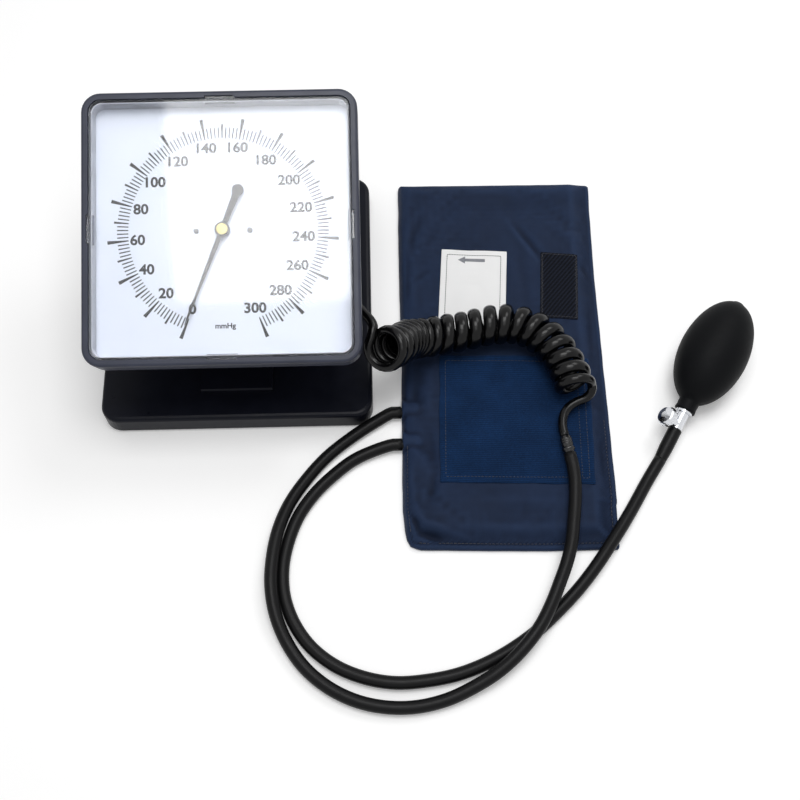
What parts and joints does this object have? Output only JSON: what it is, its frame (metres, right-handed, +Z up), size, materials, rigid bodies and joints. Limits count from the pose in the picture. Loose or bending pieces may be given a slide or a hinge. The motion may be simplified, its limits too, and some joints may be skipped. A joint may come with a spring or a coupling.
{
  "type": "desk aneroid sphygmomanometer",
  "caption": "Square dial pressure gauge tilting on a flat desk base, with a curly tube, hoses, an arm cuff and a rubber inflation bulb with a release valve.",
  "frame": {"origin": "middle of the base's underside, on the surface that the object stands on", "axes": "+X to the right of a person who reads the dial, +Y away from them, +Z up; the dial looks towards -Y and up"},
  "size_m": [0.461, 0.4028, 0.1559],
  "materials": {
    "base_plastic": "satin moulded plastic, near-black navy",
    "case_plastic": "satin moulded plastic, slate navy",
    "steel": "plain zinc-plated steel",
    "hinge_metal": "polished",
    "washer_plastic": "plain",
    "pad_rubber": "matt, fine ribs",
    "clear_window": "clear moulded, polished",
    "dial_white": "satin white",
    "dial_print": "matt black",
    "brass": "plain machined",
    "tube_rubber": "satin black",
    "connector_plastic": "satin black",
    "cuff_cloth": "woven nylon, slight sheen, navy",
    "bladder_rubber": "matt black",
    "loop_cloth": "loop pile, mid blue",
    "hook_cloth": "hook tape, near black",
    "label_cloth": "satin woven, white",
    "bulb_rubber": "matt black",
    "valve_chrome": "polished"
  },
  "bodies": {
    "stand": {"base_shell": "base_plastic", "base_plate": "steel", "base_pad": "pad_rubber", "base_screws": "steel", "pedestal": "base_plastic", "pedestal_screws": "steel", "hinge_bolt": "hinge_metal", "hinge_nut": "steel", "friction_washers": "washer_plastic", "coil_lead": "tube_rubber", "coil_cord": "tube_rubber", "coil_tail": "tube_rubber", "tube_connector": "connector_plastic", "hose_a": "tube_rubber", "hose_b": "tube_rubber", "cuff_sleeve": "cuff_cloth", "bladder": "bladder_rubber", "loop_patch": "loop_cloth", "hook_patch": "hook_cloth", "cuff_label": "label_cloth", "bulb": "bulb_rubber", "bulb_check_valve": "connector_plastic", "valve_body": "valve_chrome", "valve_sleeve": "tube_rubber"},
    "gauge_head": {"tilt_lug": "case_plastic", "lug_screws": "steel", "rear_shell": "case_plastic", "rear_shell_screws": "steel", "case_frame": "case_plastic", "window": "clear_window", "dial_plate": "dial_white", "dial_scale": "dial_print", "dial_screws": "steel", "hairspring": "brass", "movement_front_plate": "brass", "movement_back_plate": "brass", "movement_pillars": "brass", "pressure_capsule": "brass", "capsule_base": "brass", "inner_tube": "tube_rubber", "inlet_barb": "steel"},
    "pointer_train": {"pointer": "dial_print", "pointer_cap": "brass", "pinion_arbor": "steel"},
    "sector": {"sector_gear": "brass"},
    "rocker": {"rocking_shaft": "steel"},
    "capsule_top": {"capsule_button": "steel"},
    "release_screw": {"release_spindle": "valve_chrome"},
    "knob": {"release_knob": "valve_chrome"}
  },
  "joints": [
    {"name": "tilt", "type": "hinge", "parent": "stand", "child": "gauge_head", "pos_m": [0, 0.013, 0.058], "axis": [1, 0, 0], "range_deg": [-15, 28], "deforming": ["coil_lead"]},
    {"name": "sector_turn", "type": "hinge", "parent": "gauge_head", "child": "sector", "pos_m": [-0.02785, 0.00281, 0.1075], "axis": [0, -0.342, 0.9397], "range_deg": [0, 39.56], "stiffness_Nm_per_rad": 0.002, "springref_deg": -11.46},
    {"name": "pointer_turn", "type": "hinge", "parent": "gauge_head", "child": "pointer_train", "pos_m": [0, -0.00649, 0.11156], "axis": [0, 0.342, -0.9397], "range_deg": [0, 318], "deforming": ["hairspring"]},
    {"name": "rocker_turn", "type": "hinge", "parent": "gauge_head", "child": "rocker", "pos_m": [0, 0.00479, 0.09811], "axis": [-1, 0, 0], "range_deg": [0, 23.2]},
    {"name": "capsule_lift", "type": "slide", "parent": "gauge_head", "child": "capsule_top", "axis": [0, -0.342, 0.9397], "range_m": [0, 0.00242], "deforming": ["pressure_capsule"]},
    {"name": "release_travel", "type": "slide", "parent": "stand", "child": "release_screw", "axis": [-0.679, 0.2405, 0.6936], "range_m": [0, 0.00105]},
    {"name": "release_turn", "type": "hinge", "parent": "release_screw", "child": "knob", "pos_m": [0.30752, -0.1103, 0.01339], "axis": [-0.679, 0.2405, 0.6936], "range_deg": [0, 720]}
  ],
  "couplings": [
    {"joint": "pointer_turn", "follows": "sector_turn", "ratio": 8},
    {"joint": "rocker_turn", "follows": "sector_turn", "ratio": 0.58095},
    {"joint": "capsule_lift", "follows": "sector_turn", "m_per_rad": 0.0034624},
    {"joint": "release_travel", "follows": "release_turn", "m_per_rad": 0.00007957}
  ]
}
